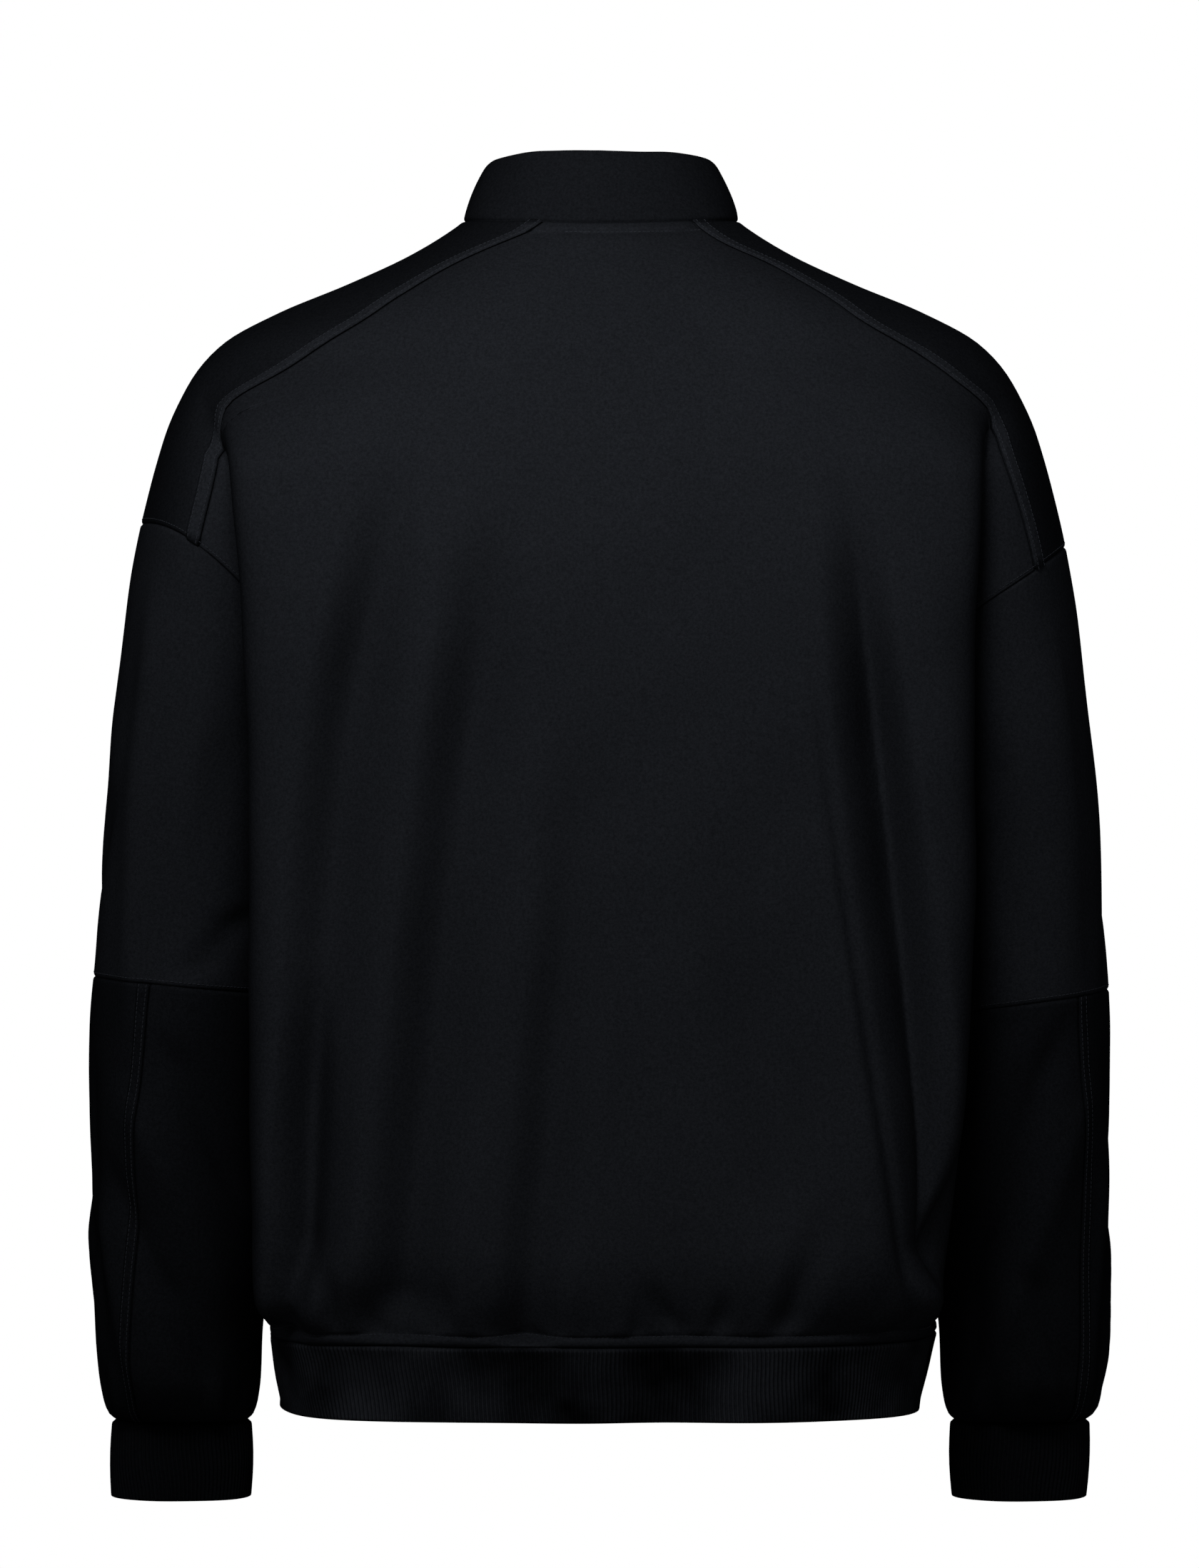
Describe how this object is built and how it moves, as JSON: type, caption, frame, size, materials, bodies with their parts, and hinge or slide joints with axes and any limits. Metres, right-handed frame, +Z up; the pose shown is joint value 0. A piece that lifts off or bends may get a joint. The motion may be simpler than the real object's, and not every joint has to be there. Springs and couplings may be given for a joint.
{
  "type": "track jacket",
  "caption": "Black zip-front track jacket with stand collar, dropped shoulders, taped seams and ribbed hem and cuffs, hollow as worn with open neck, hem and sleeves.",
  "frame": {"origin": "middle of the neck base, level with the points where the shoulders meet the neck, where a wearer's neck and shoulders hold it up", "axes": "+Z up, from the hem to the neck; -Y is the garment's front; +X is the wearer's left"},
  "size_m": [0.5913, 0.2787, 0.7746],
  "materials": {
    "body_cloth": "smooth heavy jersey, matt with a fine grain",
    "deep_cloth": "the same jersey in a deeper black",
    "rib_knit": "one by one rib knit, matt",
    "tape": "woven tape with a slight sheen",
    "zip_metal": "satin black"
  },
  "bodies": {
    "jacket": {"back_panel": "body_cloth", "collar": "body_cloth", "front_left": "body_cloth", "shoulder_panel_left": "deep_cloth", "sleeve_upper_left": "body_cloth", "sleeve_lower_outer_left": "deep_cloth", "sleeve_lower_under_left": "deep_cloth", "front_right": "body_cloth", "shoulder_panel_right": "deep_cloth", "sleeve_upper_right": "body_cloth", "sleeve_lower_outer_right": "deep_cloth", "sleeve_lower_under_right": "deep_cloth", "hem_rib": "rib_knit", "cuff_left": "rib_knit", "cuff_right": "rib_knit", "shoulder_tape_left": "tape", "shoulder_tape_right": "tape", "sleeve_tape_left": "tape", "sleeve_tape_right": "tape", "zip_tape_left": "tape", "zip_tape_right": "tape", "zip_slider": "zip_metal"},
    "zip_pull": {"zip_pull": "zip_metal"}
  },
  "joints": [
    {"name": "zip_pull_swing", "type": "hinge", "parent": "jacket", "child": "zip_pull", "pos_m": [0, -0.07125, -0.02813], "axis": [-1, 0, 0], "range_deg": [0, 150]}
  ]
}
